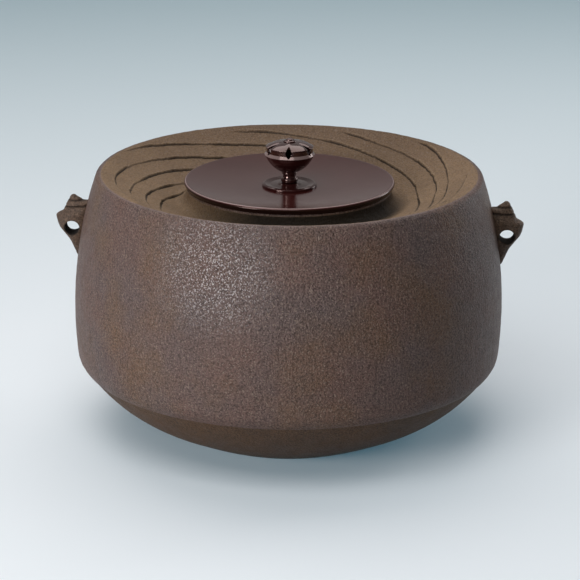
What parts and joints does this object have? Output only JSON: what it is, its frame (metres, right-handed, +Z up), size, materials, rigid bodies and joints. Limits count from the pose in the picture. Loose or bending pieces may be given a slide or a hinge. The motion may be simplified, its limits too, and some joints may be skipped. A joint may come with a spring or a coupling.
{
  "type": "chagama kettle",
  "caption": "Cast iron tea kettle with a rippled sunken shoulder, shell-shaped ring lugs, and a dished bronze lid that lifts off by its hollow bud knob.",
  "frame": {"origin": "on the kettle's axis at the flat of its bottom", "axes": "+Z up, X through both ring lugs, -Y towards the front"},
  "size_m": [0.2838, 0.26, 0.181],
  "materials": {
    "wall_iron": "sand-cast skin, brown lacquer burnt on, matt",
    "bottom_iron": "smoother cast skin, dark brown, matt",
    "lug_iron": "cast, brown lacquer burnt on, softly rubbed edges",
    "plate_iron": "thin iron plate, bare",
    "joint_lacquer": "iron-filled lacquer, dark",
    "lid_bronze": "bronze, dark maroon patina, satin",
    "knob_bronze": "bronze, dark maroon patina, polished"
  },
  "bodies": {
    "kettle": {"body_shell": "wall_iron", "bottom_shell": "bottom_iron", "seam_lacquer": "joint_lacquer", "lug_right": "lug_iron", "lug_left": "lug_iron", "singing_plate_1": "plate_iron", "singing_plate_2": "plate_iron", "singing_plate_3": "plate_iron", "singing_plate_4": "plate_iron", "plate_lacquer": "joint_lacquer"},
    "lid": {"lid_plate": "lid_bronze", "knob_seat": "knob_bronze", "back_washer": "lid_bronze"},
    "knob": {"knob": "knob_bronze", "knob_pin": "knob_bronze"}
  },
  "joints": [
    {"name": "lid_lift", "type": "slide", "parent": "kettle", "child": "lid", "axis": [0, 0, 1], "range_m": [0, 0.12]},
    {"name": "knob_turn", "type": "hinge", "parent": "lid", "child": "knob", "pos_m": [0, 0, 0.165], "axis": [0, 0, 1], "continuous": true}
  ]
}
